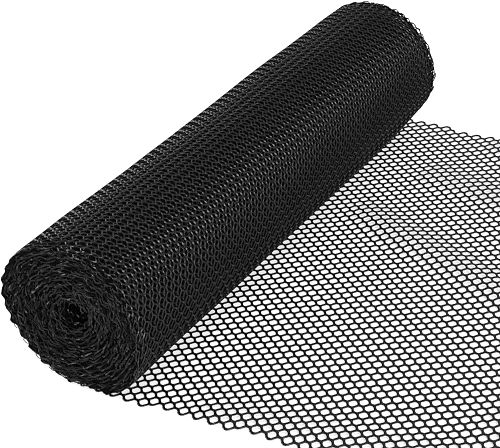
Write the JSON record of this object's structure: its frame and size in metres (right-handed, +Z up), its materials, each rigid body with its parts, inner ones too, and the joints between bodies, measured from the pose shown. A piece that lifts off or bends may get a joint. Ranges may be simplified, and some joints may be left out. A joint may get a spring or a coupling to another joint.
{
  "type": "roll of plastic poultry netting",
  "caption": "Roll of black extruded plastic hexagonal poultry netting with a hollow core, its loose end unrolled flat beside it.",
  "frame": {"origin": "on the floor, under the roll's axis and halfway along its length, at the middle of the flat spot that the roll stands on", "axes": "+Z up; +Y along the roll, from the end nearer the camera to the far end; +X the way the loose end is unrolled"},
  "size_m": [0.8363, 1.0367, 0.2676],
  "materials": {
    "netting": "black extruded polyethylene, satin, with small bright glints on its rounded strands"
  },
  "bodies": {
    "root": {"roll": "netting", "loose_end": "netting"}
  },
  "joints": []
}
